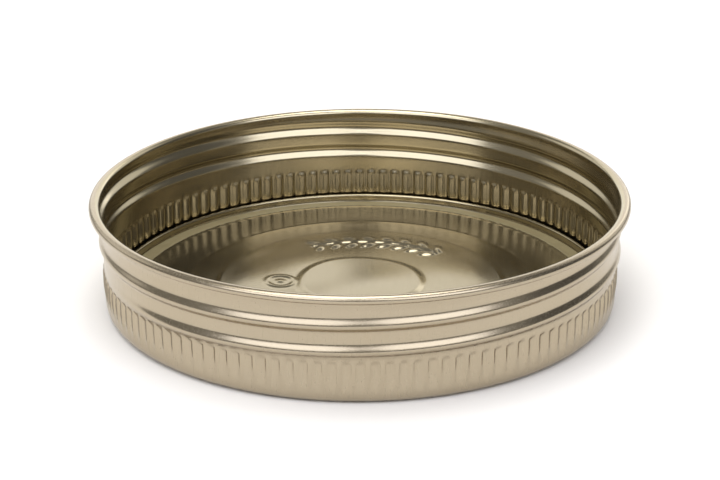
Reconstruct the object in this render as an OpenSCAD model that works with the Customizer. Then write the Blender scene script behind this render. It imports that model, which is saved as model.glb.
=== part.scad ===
// Two-piece closure for a wide-mouth canning jar: a screw band, and the flat lid that lies loose inside it.
// It stands on its closed end, open side up. +Z runs up the axis, and the origin is the middle of the flange face.

/* [Band] */
// Diameter over the rolled rim
rim_d = 90.4; // [88:0.1:94]
// Height from the flange face to the top of the rim
band_h = 18.7; // [18:0.1:21]
// Diameter over the knurled skirt
skirt_d = 86.4; // [86:0.1:87]
// Thickness of the band's tinplate
band_t = 0.3; // [0.25:0.01:0.35]
// Outside radius of the corner between skirt and flange
corner_r = 1.6; // [1.2:0.1:2]
// Diameter of the opening in the flange
opening_d = 73; // [68:0.5:76]
// Diameter of the wire-like bead that the rim is curled into
bead_d = 1.5; // [1.3:0.1:1.7]

/* [Knurls] */
// Number of knurls round the skirt
knurl_n = 122; // [80:1:130]
// Depth of a knurl
knurl_depth = 0.32; // [0.2:0.01:0.35]
// Height where the knurls begin
knurl_z0 = 2.6; // [2.2:0.1:3.4]
// Height where the knurls end
knurl_z1 = 7.4; // [6.5:0.1:7.6]

/* [Thread] */
// Rise of the thread in one turn
thread_lead = 4.3; // [4:0.05:4.5]
// How far the thread is pressed out of the wall
thread_depth = 0.65; // [0.4:0.05:0.8]
// Height of the thread's middle line where it starts, at the left
thread_z0 = 8.05; // [7.9:0.05:8.6]
// Width of the pressed thread
thread_w = 2.7; // [2:0.1:3]
// Turns of thread
thread_turns = 2.08; // [1:0.01:2.1]

/* [Lid] */
// Diameter of the lid
lid_d = 84.4; // [83.6:0.1:84.4]
// Height of the lid's edge
lid_h = 2.1; // [1.8:0.1:2.6]
// Thickness of the lid's tinplate
lid_t = 0.25; // [0.2:0.01:0.3]
// Width of the channel that holds the sealing compound
channel_w = 3.0; // [2.5:0.1:3.6]
// Height of the raised middle above the channel
step_h = 0.95; // [0.6:0.05:1.2]
// Radius of the outer ring pressed in the lid
ring_r = 30.1; // [28:0.1:33]
// Radius of the centre panel
panel_r = 24.6; // [20:0.1:27]
// Height of the centre panel above the rings
panel_h = 0.6; // [0.3:0.05:0.8]
// Radius of the button in the middle
button_r = 11; // [9:0.1:14]
// Height of the button above the panel
button_h = 0.7; // [0.3:0.05:1]

/* [Sealing ring] */
// Thickness of the sealing compound
seal_h = 0.8; // [0.5:0.05:0.9]

/* [Hidden] */
$fn = 180;
// Gap between the lid and the flange that it rests on
rest_gap = 0.1;
// How far one zone of the band's wall runs into the next, and how far its skin lies inside the next one's
lap = 0.4;
lap_inset = 0.06;
skirt_r = skirt_d / 2;
wall_r = skirt_r - 0.1;
bead_r = bead_d / 2;
bead_z = band_h - bead_r;
bead_c = rim_d / 2 - bead_r;
neck_r = bead_c - bead_r + band_t;
neck_z = bead_z - 0.6;
zone_z0 = knurl_z1 + 0.3;
lid_r = lid_d / 2;
lid_z = band_t + rest_gap;
champagne = [0.78, 0.72, 0.60];
gold = [0.66, 0.60, 0.38];
olive = [0.52, 0.48, 0.33];

// Points of an arc about [r, z], from angle a0 to a1
function arc(c, rad, a0, a1, n = 6) =
    [for (i = [0:n]) let (a = a0 + (a1 - a0) * i / n) [c[0] + rad * cos(a), c[1] + rad * sin(a)]];

// Unit normal to the left of the path at point i
function normal(path, i) =
    let (a = path[max(i - 1, 0)],
         b = path[min(i + 1, len(path) - 1)],
         d = (b - a) / norm(b - a))
    [-d[1], d[0]];

// Outline of a strip of sheet: the path is its outside face, and the sheet lies to the path's left
function sheet(path, t) =
    let (last = len(path) - 1)
    concat(path, [for (i = [last:-1:0]) path[i] + t * normal(path, i)]);

// Closed tube through a ring of sections; sections[j] is the closed outline at column j
module ring_of_sections(sections) {
    n = len(sections);
    k = len(sections[0]);
    points = [for (s = sections) for (p = s) p];
    faces = [
        for (j = [0:n - 1])
            for (i = [0:k - 1])
                let (j1 = (j + 1) % n,
                     i1 = (i + 1) % k,
                     a = j * k + i,
                     b = j1 * k + i,
                     c = j1 * k + i1,
                     d = j * k + i1)
                each [[a, c, b], [a, d, c]]
    ];
    polyhedron(points, faces, convexity = 6);
}

// Section of the wall at one angle, from its outside radii at the heights zs
function wall_section(angle, zs, radii, thicks) =
    let (n = len(zs))
    concat(
        [for (i = [0:n - 1]) [radii[i] * cos(angle), radii[i] * sin(angle), zs[i]]],
        [for (i = [n - 1:-1:0])
            let (r = radii[i] - thicks[i])
            [r * cos(angle), r * sin(angle), zs[i]]]
    );

// Flat flange, rounded corner and the foot of the skirt
module closed_end() {
    foot = concat(
        [[opening_d / 2, 0]],
        arc([skirt_r - corner_r, corner_r], corner_r, -90, 0, 8),
        [[skirt_r, knurl_z0 + lap / 2]]
    );
    rotate_extrude() polygon(sheet(foot, band_t));
}

// Belt of vertical knurls: every second column lies deeper, and the grooves run out at both ends
knurl_zs = [knurl_z0 - lap / 2, knurl_z0 + 0.3, knurl_z0 + 0.8, knurl_z1 - 0.8, knurl_z1, zone_z0 - 0.1];
knurl_share = [0, 0.3, 1, 1, 0, 0];
function knurl_inset(i) = (i == 0 || i == len(knurl_zs) - 1) ? lap_inset : 0;
module knurled_skirt() {
    ring_of_sections([
        for (j = [0:2 * knurl_n - 1])
            wall_section(
                180 * j / knurl_n,
                knurl_zs,
                [for (i = [0:len(knurl_zs) - 1])
                    skirt_r - knurl_inset(i) - (j % 2) * knurl_depth * knurl_share[i]],
                [for (i = [0:len(knurl_zs) - 1]) band_t - 2 * knurl_inset(i)]
            )
    ]);
}

// Plain hoop of wall, a true cylinder, between the knurls and the thread
module plain_hoop() {
    rotate_extrude()
        translate([skirt_r - band_t, knurl_z1 + 0.1])
        square([band_t, zone_z0 + lap - knurl_z1 - 0.1]);
}

// Share of the full thread depth at a distance dz from the thread's middle line
function ridge(dz) = abs(dz) < thread_w / 2 ? (1 + cos(360 * dz / thread_w)) / 2 : 0;

// The thread fades in and out over this many degrees at each end
thread_fade = 40;
thread_start = -165;
thread_end = thread_start + 360 * thread_turns;
function fade(angle) =
    max(0, min(1, (angle - thread_start) / thread_fade, (thread_end - angle) / thread_fade));

// Depth of the rolled thread at an angle and a height
function thread_at(angle, z) =
    thread_depth * max([
        for (turn = [-1:2])
            let (a = angle + 360 * turn,
                 zc = thread_z0 + thread_lead * (a - thread_start) / 360)
            fade(a) * ridge(z - zc)
    ]);

// Threaded wall: the groove inside is the rounded ridge outside, and the wall flares to the neck above it
thread_cols = 72;
thread_rows = 17;
thread_top = neck_z;
flare_h = 1.3;
thread_zs = [for (i = [0:thread_rows]) zone_z0 + (thread_top - zone_z0) * i / thread_rows];
function plain_r(z) =
    let (f = min(1, (z - zone_z0) / 0.8),
         g = max(0, 1 + (z - thread_top) / flare_h))
    skirt_r + (wall_r - skirt_r) * f + (neck_r - wall_r) * g * g;
function end_inset(i) = (i == 0 || i == thread_rows) ? lap_inset : 0;
module threaded_wall() {
    ring_of_sections([
        for (j = [0:thread_cols - 1])
            let (angle = 360 * j / thread_cols)
            wall_section(
                angle,
                thread_zs,
                [for (i = [0:thread_rows])
                    plain_r(thread_zs[i]) - end_inset(i)
                    + (end_inset(i) > 0 ? 0 : thread_at(angle, thread_zs[i]))],
                [for (i = [0:thread_rows]) band_t - 2 * end_inset(i)]
            )
    ]);
}

// Neck and rolled rim: the sheet turns outward and round into a hollow bead
module rolled_rim() {
    neck = [[neck_r, neck_z - lap]];
    curl = arc([bead_c, bead_z], bead_r - band_t, 180, -60, 24);
    rotate_extrude() polygon(sheet(concat(neck, curl), band_t));
}

module screw_band() {
    color(champagne)
    union() {
        closed_end();
        knurled_skirt();
        plain_hoop();
        threaded_wall();
        rolled_rim();
    }
}

// The lid lies underside up: edge, channel, step, ring, panel and button, as one sheet
channel_r = lid_r - 0.5;
step_r = channel_r - channel_w;
edge_r = 0.5;
panel_z = lid_z + step_h;
module lid_disc() {
    underface = concat(
        [[0, panel_z + panel_h + button_h]],
        [[button_r - 2.4, panel_z + panel_h + button_h - 0.05]],
        [[button_r, panel_z + panel_h]],
        [[panel_r - 0.7, panel_z + panel_h]],
        [[panel_r, panel_z + 0.1]],
        [[panel_r + 0.7, panel_z]],
        [[ring_r - 0.5, panel_z]],
        [[ring_r, panel_z + 0.15]],
        [[ring_r + 0.5, panel_z]],
        [[step_r - 0.7, panel_z]],
        [[step_r, lid_z]],
        arc([lid_r - edge_r, lid_z + edge_r], edge_r, -90, 0, 6),
        [[lid_r, lid_z + lid_h - 0.35]],
        arc([lid_r - 0.35, lid_z + lid_h - 0.35], 0.35, 15, 180, 8)
    );
    color(gold) rotate_extrude() polygon(sheet(underface, lid_t));
}

// Sealing compound, flowed into the channel and slightly hollow on top
module sealing_ring() {
    inner = step_r + 0.12;
    outer = lid_r - 0.75;
    floor_z = lid_z + lid_t;
    section = [
        [inner, floor_z],
        [outer - 0.2, floor_z],
        [outer, floor_z + 0.25],
        [outer, floor_z + seal_h],
        [(inner + outer) / 2, floor_z + seal_h - 0.15],
        [inner, floor_z + seal_h - 0.05]
    ];
    color(olive) rotate_extrude() polygon(section);
}

screw_band();
lid_disc();
sealing_ring();
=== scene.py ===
# Two-piece canning-jar closure, lying open side up: screw band, flat lid, sealing compound.
import math

import bpy
import numpy as np
from mathutils import Matrix, Vector


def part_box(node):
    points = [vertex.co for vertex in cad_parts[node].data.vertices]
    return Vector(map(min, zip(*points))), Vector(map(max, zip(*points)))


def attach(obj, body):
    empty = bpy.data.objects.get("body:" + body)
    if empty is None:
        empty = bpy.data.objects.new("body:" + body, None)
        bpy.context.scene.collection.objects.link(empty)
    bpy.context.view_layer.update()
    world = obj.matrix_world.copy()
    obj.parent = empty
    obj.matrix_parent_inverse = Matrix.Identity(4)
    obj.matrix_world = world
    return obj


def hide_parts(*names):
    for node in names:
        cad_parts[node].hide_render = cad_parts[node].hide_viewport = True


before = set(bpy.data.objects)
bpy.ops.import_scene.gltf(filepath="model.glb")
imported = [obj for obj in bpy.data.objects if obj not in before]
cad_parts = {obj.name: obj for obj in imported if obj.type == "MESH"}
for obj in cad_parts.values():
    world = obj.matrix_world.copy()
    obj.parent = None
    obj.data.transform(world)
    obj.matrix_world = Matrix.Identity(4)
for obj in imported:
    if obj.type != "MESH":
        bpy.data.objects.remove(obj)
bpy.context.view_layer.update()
mm = 0.001
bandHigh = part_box("screw_band")[1]
lidLow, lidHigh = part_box("lid_disc")
sealLow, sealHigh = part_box("sealing_ring")
print("frame loaded")


# 0 below 0, 1 above 1, 3x^2 - 2x^3 between.
def smooth(x):
    x = np.clip(x, 0.0, 1.0)
    return x * x * (3.0 - 2.0 * x)


# A mesh from an array of points in mm and lists of corner numbers, shaded smooth.
def meshObject(name, verts, faces, materialIndex=None):
    mesh = bpy.data.meshes.new(name)
    mesh.from_pydata((verts * mm).tolist(), [], faces)
    mesh.polygons.foreach_set("use_smooth", np.ones(len(mesh.polygons), dtype=bool))
    if materialIndex is not None:
        mesh.polygons.foreach_set("material_index", np.asarray(materialIndex, dtype=np.int32))
    mesh.update()
    obj = bpy.data.objects.new(name, mesh)
    bpy.context.scene.collection.objects.link(obj)
    return obj


# Quads of a grid of rows x columns points whose columns close on themselves.
def gridFaces(rows, columns, start=0):
    i = np.arange(rows - 1)[:, None]
    j = np.arange(columns)[None, :]
    nextJ = (j + 1) % columns
    a = start + i * columns + j
    b = start + i * columns + nextJ
    c = start + (i + 1) * columns + nextJ
    d = start + (i + 1) * columns + j
    return np.stack([a, b, c, d], -1).reshape(-1, 4)


# Points (r cos a, r sin a, z); r and z are rows x columns, or rows x 1.
def revolve(r, z, angles):
    r, z = np.broadcast_arrays(r + 0.0 * angles, z + 0.0 * angles)
    return np.stack([r * np.cos(angles), r * np.sin(angles), z], -1).reshape(-1, 3)


# Screw band: lengths in mm, angles in degrees from +X.
band = {
    "thickness": 0.28,
    "wallRadius": 43.1,       # outside, between the turns of thread
    "cornerRadius": 1.8,
    "openingRadius": 36.5,    # hole in the flange
    "beadRadius": 0.74,       # rolled rim
    "neckOut": 0.55,          # how far the neck leans out to the rolled rim
    "neckFrom": 15.2,
    "knurls": 122,
    "knurlOutside": (0.26, 0.3, 3.5),    # ribs out, strips in, length of their lower end; outer face
    "knurlInside": (0.16, 0.28, 1.0),    # the same on the inner face
    "ribWidth": 0.22,         # of half a pitch
    "knurlLow": 1.9,
    "knurlHigh": 7.5,
    "knurlEnd": 1.0,          # length of a knurl's rounded upper end
    "threadLead": 4.3,
    "threadDepth": 0.68,
    "threadBelow": 1.35,      # reach of the hump below the helix
    "threadAbove": 1.3,       # short reach above it
    "threadTail": 3.3,        # long reach above it
    "threadLean": 0.2,        # share of the depth that the long slope has
    "threadFloor": 6.0,       # no thread below this height
    "threadStart": -165.0,
    "threadStartHeight": 8.05,
    "threadTurns": 2.08,
    "threadFade": 40.0,       # degrees over which it starts and ends
    "joinHeight": 8.0,        # where the knurled foot meets the threaded wall
    "stepsPerKnurl": 6,
    "rimRowsInside": 8,       # rows of the curl that still have the inside's finish
    "outsideColours": ("#b4a893", "#aea18a"),
    "outsideRoughness": 0.24,
    "insideColours": ("#b8ae95", "#b0a58a"),
    "insideRoughness": 0.19,
}


# Radial offset of the knurled sheet: strips pressed in by into and slightly crowned, parted by narrow ribs
# pressed out by out, with a bell across each rib. It fades in over the height foot and out at the upper end.
def knurlOffset(angle, z, out, into, foot):
    u = angle * band["knurls"] / (2 * np.pi)
    across = 2.0 * np.abs(u - np.floor(u) - 0.5)
    rib = np.exp(-((1.0 - across) / band["ribWidth"]) ** 2)
    strip = (1.0 - across**2) * (1.0 - rib)
    low = smooth((z - band["knurlLow"]) / foot)
    high = smooth((band["knurlHigh"] - z) / band["knurlEnd"])
    return low * high * (out * rib - into * strip)


# Half of 1 + cos(pi x) between -1 and 1, and 0 beyond.
def hump(x):
    return 0.5 * (1 + np.cos(np.pi * np.clip(x, -1.0, 1.0)))


# The highest, over the turns, of a hump of the distance from the helix, faded in and out at the helix's ends.
# Above the helix the hump is part short and part long, so the wall leans in from turn to turn.
def threadRise(angle, z):
    rise = np.zeros(np.broadcast(angle, z).shape)
    degrees = np.degrees(angle)
    end = band["threadStart"] + 360 * band["threadTurns"]
    for turn in range(-1, 3):
        a = degrees + 360 * turn
        middle = band["threadStartHeight"] + band["threadLead"] * (a - band["threadStart"]) / 360
        fade = smooth((a - band["threadStart"]) / band["threadFade"])
        fade = fade * smooth((end - a) / band["threadFade"])
        dz = z - middle
        above = (1 - band["threadLean"]) * hump(dz / band["threadAbove"])
        above = above + band["threadLean"] * hump(dz / band["threadTail"])
        rise = np.maximum(rise, fade * np.where(dz > 0, above, hump(dz / band["threadBelow"])))
    return rise


# Radius of the sheet's outer face between the corner and the neck: the wall, plus a neck that leans out, plus
# the knurls out and into by those depths, plus the thread.
def wallRadius(angle, z, out, into, foot):
    knurls = knurlOffset(angle, z, out, into, foot)
    neckTop = bandHigh[2] / mm - band["beadRadius"]
    neck = band["neckOut"] * smooth((z - band["neckFrom"]) / (neckTop - band["neckFrom"]))
    thread = band["threadDepth"] * threadRise(angle, z) * (z > band["threadFloor"])
    return band["wallRadius"] + neck + knurls + thread


# A section of the sheet carried round the axis. The knurled foot has many columns and the threaded wall
# half as many, and a ring of triangles joins them.
def makeBand():
    t = band["thickness"]
    corner = band["cornerRadius"]
    fine = band["knurls"] * band["stepsPerKnurl"]
    coarse = fine // 2
    fineAngles = (2 * np.pi * np.arange(fine) / fine)[None, :]
    coarseAngles = fineAngles[:, ::2]
    joinZ = band["joinHeight"]
    footZ = np.concatenate([
        [corner], np.linspace(1.9, 3.1, 7), [3.7, 4.3, 4.9, 5.5],
        np.linspace(6.2, 7.5, 9), [joinZ]])[:, None]
    turn = np.radians(np.linspace(-90, 0, 9))[:-1, None]
    foot = band["wallRadius"]

    # Rows from the flange's edge out and up to the join, on the face inset into the sheet.
    def footRows(inset, knurl):
        cornerR = foot - corner + (corner - inset) * np.cos(turn)
        cornerZ = corner + (corner - inset) * np.sin(turn)
        flatR = np.array([[band["openingRadius"]], [band["openingRadius"] + 0.15], [39.0]])
        flatZ = np.array([[inset], [inset], [inset]])
        r = np.concatenate([flatR + 0 * fineAngles, cornerR + 0 * fineAngles,
                            wallRadius(fineAngles, footZ, *knurl) - inset])
        z = np.concatenate([flatZ, cornerZ, footZ]) + 0 * fineAngles
        return r, z

    outR, outZ = footRows(0.0, band["knurlOutside"])
    inR, inZ = footRows(t, band["knurlInside"])
    r = np.concatenate([inR[::-1], outR])
    z = np.concatenate([inZ[::-1], outZ])
    footVerts = revolve(r, z, fineAngles)
    footRowsN = len(r)

    neckTop = bandHigh[2] / mm - band["beadRadius"]
    beadInside = band["wallRadius"] + band["neckOut"] - t
    beadHalf = (bandHigh[0] / mm - beadInside) / 2
    beadMiddle = beadInside + beadHalf
    wallZ = np.concatenate([np.linspace(joinZ + 0.2, neckTop - 0.6, 42), [neckTop - 0.3]])[:, None]
    curl = np.radians(np.linspace(180, -80, 24))[:, None]
    curlOut = (beadMiddle + beadHalf * np.cos(curl), neckTop + band["beadRadius"] * np.sin(curl))
    curlIn = (beadMiddle + (beadHalf - t) * np.cos(curl), neckTop + (band["beadRadius"] - t) * np.sin(curl))
    outer = wallRadius(coarseAngles, wallZ, 0.0, 0.0, 1.0)
    zero = 0 * coarseAngles
    # The sheet's outside face runs into the inside of the curl, and its inside face round the bead.
    r = np.concatenate([outer, curlIn[0] + zero, (curlOut[0] + zero)[::-1], (outer - t)[::-1]])
    z = np.concatenate([wallZ + zero, curlIn[1] + zero, (curlOut[1] + zero)[::-1], (wallZ + zero)[::-1]])
    wallVerts = revolve(r, z, coarseAngles)
    wallRowsN = len(r)

    offset = len(footVerts)
    footFaces = gridFaces(footRowsN, fine)
    wallFaces = gridFaces(wallRowsN, coarse, offset)
    j = np.arange(coarse)
    jNext = (j + 1) % coarse
    fans = []
    for lower, upper, flip in ((footRowsN - 1, 0, False), (0, wallRowsN - 1, True)):
        f = lower * fine + np.stack([2 * j, 2 * j + 1, (2 * j + 2) % fine], -1)
        a = offset + upper * coarse + j
        b = offset + upper * coarse + jNext
        tris = np.concatenate([np.stack(corners, -1) for corners in (
            (f[:, 0], f[:, 1], a), (f[:, 1], b, a), (f[:, 1], f[:, 2], b))])
        fans.append(tris[:, ::-1] if flip else tris)
    faces = footFaces.tolist() + wallFaces.tolist() + fans[0].tolist() + fans[1].tolist()
    insideFrom = len(outer) + 2 * len(curl) - band["rimRowsInside"]
    index = np.zeros(len(faces), dtype=np.int32)
    rowOfFoot = np.repeat(np.arange(footRowsN - 1), fine)
    rowOfWall = np.repeat(np.arange(wallRowsN - 1), coarse)
    index[:len(footFaces)] = rowOfFoot < len(inR)
    index[len(footFaces):len(footFaces) + len(wallFaces)] = rowOfWall >= insideFrom
    index[-len(fans[1]):] = 1
    return meshObject("screwBand", np.concatenate([footVerts, wallVerts]), faces, index)


# Flat lid, underside up: lengths in mm, angles in degrees from +X.
lid = {
    "thickness": 0.25,
    "edgeRadius": 0.5,
    "hemRadius": 0.34,
    "lipDrop": 0.25,
    "channelWidth": 3.0,
    "stepHeight": 0.95,
    "stepSlope": 0.7,
    "ringRadius": 30.1,
    "ringHeight": 0.07,
    "ringWidth": 0.4,
    "shoulderHeight": 0.32,
    "shoulderIn": 0.35,       # from the step
    "shoulderWidth": 0.28,
    "panelRadius": 24.6,
    "panelHeight": 0.6,
    "panelSlope": 0.9,
    "dome": 0.12,
    "uneven": 0.1,
    "buttonRadius": 10.6,
    "buttonHeight": 0.6,
    "buttonSlope": 1.6,
    "pressDepth": 0.38,
    "branchFrom": 42.0,
    "branchTo": 119.0,
    "branchRadius": 18.6,
    "stemWidth": 0.35,
    "leafPairs": 8,
    "leafOff": 1.55,          # from the stem to a leaf's middle
    "leafLean": 42.0,
    "leafSize": (1.7, 0.8),   # half length and half width
    "leafPress": 0.9,         # share of the press depth
    "markPlace": (-13.6, 0.6),
    "markRadius": 2.3,
    "markWidth": 0.4,
    "dotWidth": 0.7,
    "markPress": 0.4,
    "columns": 500,
    "colours": ("#a89e86", "#a0967d"),
    "roughness": 0.18,
}


# 1 at distance 0, falling as a bell of the given width.
def soft(distance, width):
    return np.exp(-(distance / width) ** 2)


# Plain pressed ornament: a thin stem along an arc, pairs of almond leaves leaning forward on its two sides,
# and one ring with a dot away from the branch. The highest of them counts.
def pressedDetail(x, y):
    r = np.hypot(x, y)
    angle = np.degrees(np.arctan2(y, x))
    s = (angle - lid["branchFrom"]) / (lid["branchTo"] - lid["branchFrom"])
    ends = smooth(s / 0.04) * smooth((1 - s) / 0.04)
    stem = soft(r - lid["branchRadius"], lid["stemWidth"]) * ends
    pairs = lid["leafPairs"]
    arc = np.radians(lid["branchTo"] - lid["branchFrom"]) * lid["branchRadius"] / pairs
    along = (np.mod(pairs * s, 1.0) - 0.5) * arc
    off = np.abs(r - lid["branchRadius"]) - lid["leafOff"]
    lean = math.radians(lid["leafLean"])
    p = along * math.cos(lean) + off * math.sin(lean)
    q = off * math.cos(lean) - along * math.sin(lean)
    leaf = np.clip(1 - (p / lid["leafSize"][0]) ** 2 - (q / lid["leafSize"][1]) ** 2, 0, 1) ** 0.7
    leaf = leaf * (s > 0) * (s < 1)
    fromMark = np.hypot(x - lid["markPlace"][0], y - lid["markPlace"][1])
    mark = np.maximum(soft(fromMark - lid["markRadius"], lid["markWidth"]), soft(fromMark, lid["dotWidth"]))
    branch = np.maximum(stem, lid["leafPress"] * leaf)
    return lid["pressDepth"] * np.maximum(branch, lid["markPress"] * mark)


# Height of the lid's upper face over the channel floor: ramps from step to step, a very slightly domed and
# uneven panel, a button with a soft edge, and the pressed ornament.
def lidFace(r, angle):
    x, y = r * np.cos(angle), r * np.sin(angle)
    stepR = lidHigh[0] / mm - lid["edgeRadius"] - lid["channelWidth"]
    ragged = 0.05 * np.sin(61 * angle) + 0.04 * np.sin(97 * angle + 1) + 0.03 * np.sin(23 * angle)
    h = lid["stepHeight"] * smooth((stepR + 0.1 + ragged - r) / lid["stepSlope"])
    h = h + lid["ringHeight"] * soft(r - lid["ringRadius"], lid["ringWidth"])
    h = h + lid["shoulderHeight"] * soft(r - stepR + lid["shoulderIn"] - ragged, lid["shoulderWidth"])
    h = h + lid["panelHeight"] * smooth((lid["panelRadius"] + 0.4 - r) / lid["panelSlope"])
    onPanel = smooth((lid["panelRadius"] - 0.8 - r) / 4.0)
    sag = 1 - np.clip(r / lid["panelRadius"], 0, 1) ** 2
    uneven = np.sin(0.30 * x + 0.9) * np.cos(0.22 * y + 0.4) + 0.6 * np.sin(0.17 * x - 0.33 * y)
    h = h + onPanel * (lid["dome"] * sag + lid["uneven"] * uneven)
    button = smooth((lid["buttonRadius"] + 0.8 - r) / lid["buttonSlope"])
    h = h + lid["buttonHeight"] * button * (1 - 0.3 * sag * onPanel)
    return h + pressedDetail(x, y)


# The sheet as rings of points: the upper face from the middle out, up inside the edge, over its crest, round
# the outer edge, and the under face back to the middle.
def makeLid():
    t = lid["thickness"]
    rLid = lidHigh[0] / mm
    low, top = lidLow[2] / mm, lidHigh[2] / mm - lid["lipDrop"]
    columns = lid["columns"]
    angles = (2 * np.pi * np.arange(columns) / columns)[None, :]
    hem = lid["hemRadius"]
    radii = np.concatenate([
        np.linspace(0.8, 9.0, 8), np.linspace(9.5, 23.0, 46), np.linspace(23.3, 25.6, 10),
        [27.0, 28.6], np.linspace(29.2, 31.0, 6), [33.0, 35.5], np.linspace(37.0, 39.2, 10),
        [40.0, rLid - 2 * hem - 0.4]])[:, None]
    upper = low + t + lidFace(radii, angles)
    crest = np.radians(np.linspace(180, 0, 11))[:, None]
    edge = np.radians(np.linspace(0, -90, 7))[:, None]
    innerR = np.array([[rLid - 2 * hem - 0.06], [rLid - 2 * hem]])
    innerZ = np.array([[low + t + 0.06], [top - hem - 0.2]])
    under = (upper - t)[::-1]
    r = np.concatenate([radii, innerR, rLid - hem + hem * np.cos(crest),
                        rLid - lid["edgeRadius"] + lid["edgeRadius"] * np.cos(edge),
                        radii[::-1]]) + 0 * angles
    z = np.concatenate([upper, innerZ + 0 * angles, top - hem + hem * np.sin(crest) + 0 * angles,
                        low + lid["edgeRadius"] + lid["edgeRadius"] * np.sin(edge) + 0 * angles, under])
    faces = gridFaces(len(r), columns)[:, ::-1].tolist()
    middle = low + t + lidFace(np.zeros((1, 1)), np.zeros((1, 1)))[0, 0]
    poles = np.array([[0, 0, middle], [0, 0, middle - t]])
    n = r.size
    j = np.arange(columns)
    jNext = (j + 1) % columns
    last = (len(r) - 1) * columns
    faces += np.stack([j, jNext, np.full(columns, n)], -1).tolist()
    faces += np.stack([last + jNext, last + j, np.full(columns, n + 1)], -1).tolist()
    return meshObject("lidDisc", np.concatenate([revolve(r, z, angles), poles]), faces)


# Sealing compound: lengths in mm.
seal = {
    "underStep": 0.12,        # how far it stops short of the channel's inner edge
    "hollow": 0.15,
    "shoulder": 0.08,         # share of the width that each rounded shoulder has
    "rows": 16,
    "columns": 480,
    "colours": ("#8f8463", "#7b7050"),
    "roughness": 0.48,
}


# A closed section carried round: flat underneath, round shoulders, slightly hollow on top.
def makeSeal():
    inner = lidHigh[0] / mm - lid["edgeRadius"] - lid["channelWidth"] + seal["underStep"]
    outer = sealHigh[0] / mm
    low, top = sealLow[2] / mm, sealHigh[2] / mm
    angles = (2 * np.pi * np.arange(seal["columns"]) / seal["columns"])[None, :]
    s = np.linspace(0, 1, seal["rows"])[:, None]
    r = inner + (outer - inner) * s
    crown = top - seal["hollow"] * np.sin(np.pi * s)
    edge = np.clip(np.minimum(s, 1 - s) / seal["shoulder"], 0, 1)
    shoulder = edge * (2 - edge)
    z = low + (crown - low) * shoulder
    r2 = np.concatenate([r, r[-2:0:-1]]) + 0 * angles
    z2 = np.concatenate([z, np.full_like(z[-2:0:-1], low)]) + 0 * angles
    verts = revolve(r2, z2, angles)
    # The last row joins on to the first, so the ring is closed.
    faces = gridFaces(len(r2) + 1, seal["columns"]) % len(verts)
    return meshObject("sealingCompound", verts, faces[:, ::-1].tolist())


# sRGB hex to linear RGBA.
def linear(hexColour):
    c = np.array([int(hexColour[i:i + 2], 16) for i in (1, 3, 5)]) / 255
    c = np.where(c <= 0.04045, c / 12.92, ((c + 0.055) / 1.055) ** 2.4)
    return (*c.tolist(), 1.0)


# A node of a kind, with its settings, and its sockets set to values or linked to other sockets.
def addNode(tree, kind, settings=None, inputs=None):
    node = tree.nodes.new(kind)
    for key, value in (settings or {}).items():
        setattr(node, key, value)
    for key, value in (inputs or {}).items():
        if isinstance(value, bpy.types.NodeSocket):
            tree.links.new(value, node.inputs[key])
        else:
            node.inputs[key].default_value = value
    return node


# An empty node material.
def newMaterial(name):
    material = bpy.data.materials.new(name)
    material.use_nodes = True
    tree = material.node_tree
    tree.nodes.clear()
    return material, tree


# Lacquered tinplate: cold-rolled steel, tinned, lacquered and stoved. Rolling leaves fine parallel lines
# under a clear tinted film, so it is a soft mirror with a faint grain. The lines are drawn coarser than the
# real ones, which are too fine to show.
def tinplate(name, colours, roughness, grainAxis, grainPitch):
    material, tree = newMaterial(name)
    place = addNode(tree, "ShaderNodeTexCoord").outputs["Object"]
    fine = 1.0 / (grainPitch * mm)
    scale = [fine, fine, fine]
    scale[grainAxis] = fine / 60
    lines = addNode(tree, "ShaderNodeMapping", {}, {"Vector": place, "Scale": scale})
    grain = addNode(tree, "ShaderNodeTexNoise", {}, {
        "Vector": lines.outputs["Vector"], "Scale": 1.0, "Detail": 3.0, "Roughness": 0.6})
    cloud = addNode(tree, "ShaderNodeTexNoise", {}, {
        "Vector": place, "Scale": 1.0 / (14 * mm), "Detail": 2.0})
    tint = addNode(tree, "ShaderNodeMix", {"data_type": "RGBA"}, {
        "Factor": cloud.outputs["Fac"], "A": linear(colours[0]), "B": linear(colours[1])})
    rough = addNode(tree, "ShaderNodeMapRange", {}, {
        "Value": grain.outputs["Fac"], "From Min": 0.3, "From Max": 0.7,
        "To Min": roughness * 0.85, "To Max": roughness * 1.2})
    bump = addNode(tree, "ShaderNodeBump", {}, {
        "Strength": 0.25, "Distance": 0.004 * mm, "Height": grain.outputs["Fac"]})
    shader = addNode(tree, "ShaderNodeBsdfPrincipled", {}, {
        "Base Color": tint.outputs["Result"], "Metallic": 1.0, "Roughness": rough.outputs["Result"],
        "Normal": bump.outputs["Normal"]})
    addNode(tree, "ShaderNodeOutputMaterial", {}, {"Surface": shader.outputs["BSDF"]})
    return material


# Sealing compound: plastisol flowed in and cured, with the gold lacquer showing through, so it is satin.
def compound(name, colours, roughness):
    material, tree = newMaterial(name)
    place = addNode(tree, "ShaderNodeTexCoord").outputs["Object"]
    ripple = addNode(tree, "ShaderNodeTexNoise", {}, {
        "Vector": place, "Scale": 1.0 / (2.5 * mm), "Detail": 3.0})
    tint = addNode(tree, "ShaderNodeMix", {"data_type": "RGBA"}, {
        "Factor": ripple.outputs["Fac"], "A": linear(colours[0]), "B": linear(colours[1])})
    bump = addNode(tree, "ShaderNodeBump", {}, {
        "Strength": 0.3, "Distance": 0.03 * mm, "Height": ripple.outputs["Fac"]})
    shader = addNode(tree, "ShaderNodeBsdfPrincipled", {}, {
        "Base Color": tint.outputs["Result"], "Roughness": roughness, "IOR": 1.5,
        "Normal": bump.outputs["Normal"]})
    addNode(tree, "ShaderNodeOutputMaterial", {}, {"Surface": shader.outputs["BSDF"]})
    return material


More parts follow.
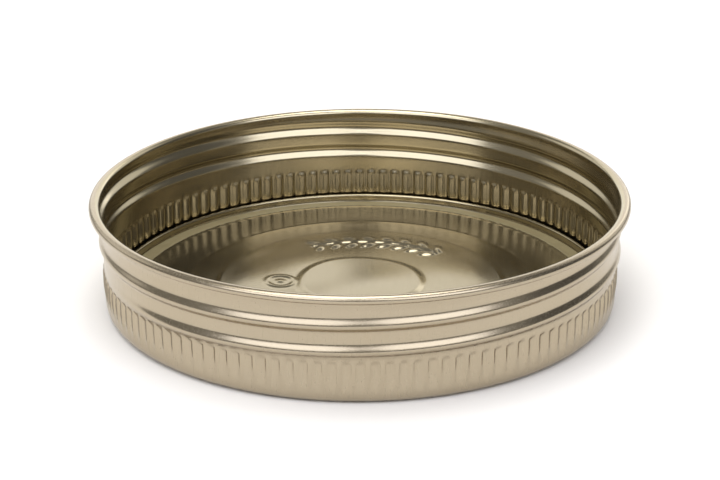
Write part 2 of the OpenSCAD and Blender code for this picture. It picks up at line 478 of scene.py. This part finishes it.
# Matt finish without a mirror, for the studio: a painted table top, or black cloth.
def matt(name, colour, roughness, specular):
    material, tree = newMaterial(name)
    shader = addNode(tree, "ShaderNodeBsdfPrincipled", {}, {
        "Base Color": linear(colour), "Roughness": roughness, "Specular IOR Level": specular})
    addNode(tree, "ShaderNodeOutputMaterial", {}, {"Surface": shader.outputs["BSDF"]})
    return material


# The band's grain runs up the wall, axis 2, and the lid's along Y, axis 1. The last number is its pitch, mm.
champagne = tinplate("champagneTinplate", band["outsideColours"], band["outsideRoughness"], 2, 0.12)
goldInside = tinplate("goldLacqueredTinplate", band["insideColours"], band["insideRoughness"], 2, 0.12)
goldLid = tinplate("goldLidTinplate", lid["colours"], lid["roughness"], 1, 0.10)

bandPiece = makeBand()
bandPiece.data.materials.append(champagne)
bandPiece.data.materials.append(goldInside)
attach(bandPiece, "band")
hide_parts("screw_band")
print("screw band made")

lidPiece = makeLid()
lidPiece.data.materials.append(goldLid)
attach(lidPiece, "lid")
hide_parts("lid_disc")
print("lid made")

sealPiece = makeSeal()
sealPiece.data.materials.append(compound("sealingCompound", seal["colours"], seal["roughness"]))
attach(sealPiece, "lid")
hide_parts("sealing_ring")
print("sealing compound made")

# Table, lamps and camera: lengths in m, angles in degrees.
studio = {
    "floorHalf": 3.0,
    "floorDrop": 0.00005,     # just clear of the flange
    "floorColour": "#f8f6f3",
    "clothColour": "#5c5c5c",
    "clothCorners": [[1.1, -0.28, 0], [1.0, 0.45, 0], [1.0, 0.45, 1.5], [1.1, -0.28, 1.5]],
    "wallColour": (1, 0.98, 0.93, 1),
    "wallStrength": 0.28,
    "cameraDistance": 0.3649,
    "cameraElevation": 21.67,
    "cameraTurn": -0.32,
    "aimHeight": 0.00997,
    "lens": 107.97,
}
half = studio["floorHalf"]
floorCorners = np.array([[-half, -half, 0], [half, -half, 0], [half, half, 0], [-half, half, 0]])
floor = meshObject("tableTop", floorCorners / mm, [[0, 1, 2, 3]])
floor.data.materials.append(matt("whiteTable", studio["floorColour"], 0.9, 0.2))
floor.location.z = -studio["floorDrop"]


# A rectangular lamp of even brightness that faces its target; its power is pi x area x brightness.
def softBox(name, place, target, size, brightness, colour=(1.0, 0.99, 0.97)):
    light = bpy.data.lights.new(name, "AREA")
    light.shape = "RECTANGLE"
    light.size, light.size_y = size
    light.energy = math.pi * size[0] * size[1] * brightness
    light.color = colour
    lamp = bpy.data.objects.new(name, light)
    bpy.context.scene.collection.objects.link(lamp)
    lamp.rotation_euler = (Vector(target) - Vector(place)).to_track_quat("-Z", "Y").to_euler()
    lamp.location = place


# A place at an azimuth from the camera's side, in degrees, at a height and a distance from the axis.
def around(azimuth, height, distance):
    a = math.radians(azimuth)
    return (distance * math.sin(a), -distance * math.cos(a), height)


daylight = (0.97, 0.99, 1.08)
softBox("frontLeft", around(-35, 0.95, 1.05), (0, 0, 0), (1.2, 0.95), 2.2, daylight)
softBox("frontRight", around(33, 0.95, 1.05), (0, 0, 0), (1.1, 0.95), 2.2, daylight)
softBox("overhead", (-0.1, 0.1, 1.5), (0, 0, 0), (1.3, 0.9), 3.9)
softBox("backCard", around(180, 0.5, 1.3), (0, 0, 0.3), (1.5, 0.8), 1.25)
softBox("leftCard", around(-125, 0.6, 1.2), (0, 0, 0.1), (0.9, 0.8), 0.75)
softBox("rightCard", around(142, 0.6, 1.2), (0, 0, 0.1), (0.8, 0.8), 0.75)

cloth = meshObject("blackFlag", np.array(studio["clothCorners"]) / mm, [[0, 1, 2, 3]])
cloth.data.materials.append(matt("blackCloth", studio["clothColour"], 1.0, 0.0))

world = bpy.data.worlds.new("studioWalls")
bpy.context.scene.world = world
world.use_nodes = True
background = world.node_tree.nodes["Background"]
background.inputs["Color"].default_value = studio["wallColour"]
background.inputs["Strength"].default_value = studio["wallStrength"]

camera = bpy.data.objects.new("camera", bpy.data.cameras.new("camera"))
bpy.context.scene.collection.objects.link(camera)
camera.data.lens = studio["lens"]
camera.data.sensor_width = 36
camera.data.clip_start = 0.01
elevation = math.radians(studio["cameraElevation"])
reach = studio["cameraDistance"]
turn = Matrix.Rotation(math.radians(90) - elevation, 4, "X")
turn = turn @ Matrix.Rotation(math.radians(studio["cameraTurn"]), 4, "Z")
camera.matrix_world = Matrix.Translation(
    (0, -reach * math.cos(elevation), studio["aimHeight"] + reach * math.sin(elevation))) @ turn
bpy.context.scene.camera = camera
bpy.context.scene.view_settings.view_transform = "Standard"
print("studio made")
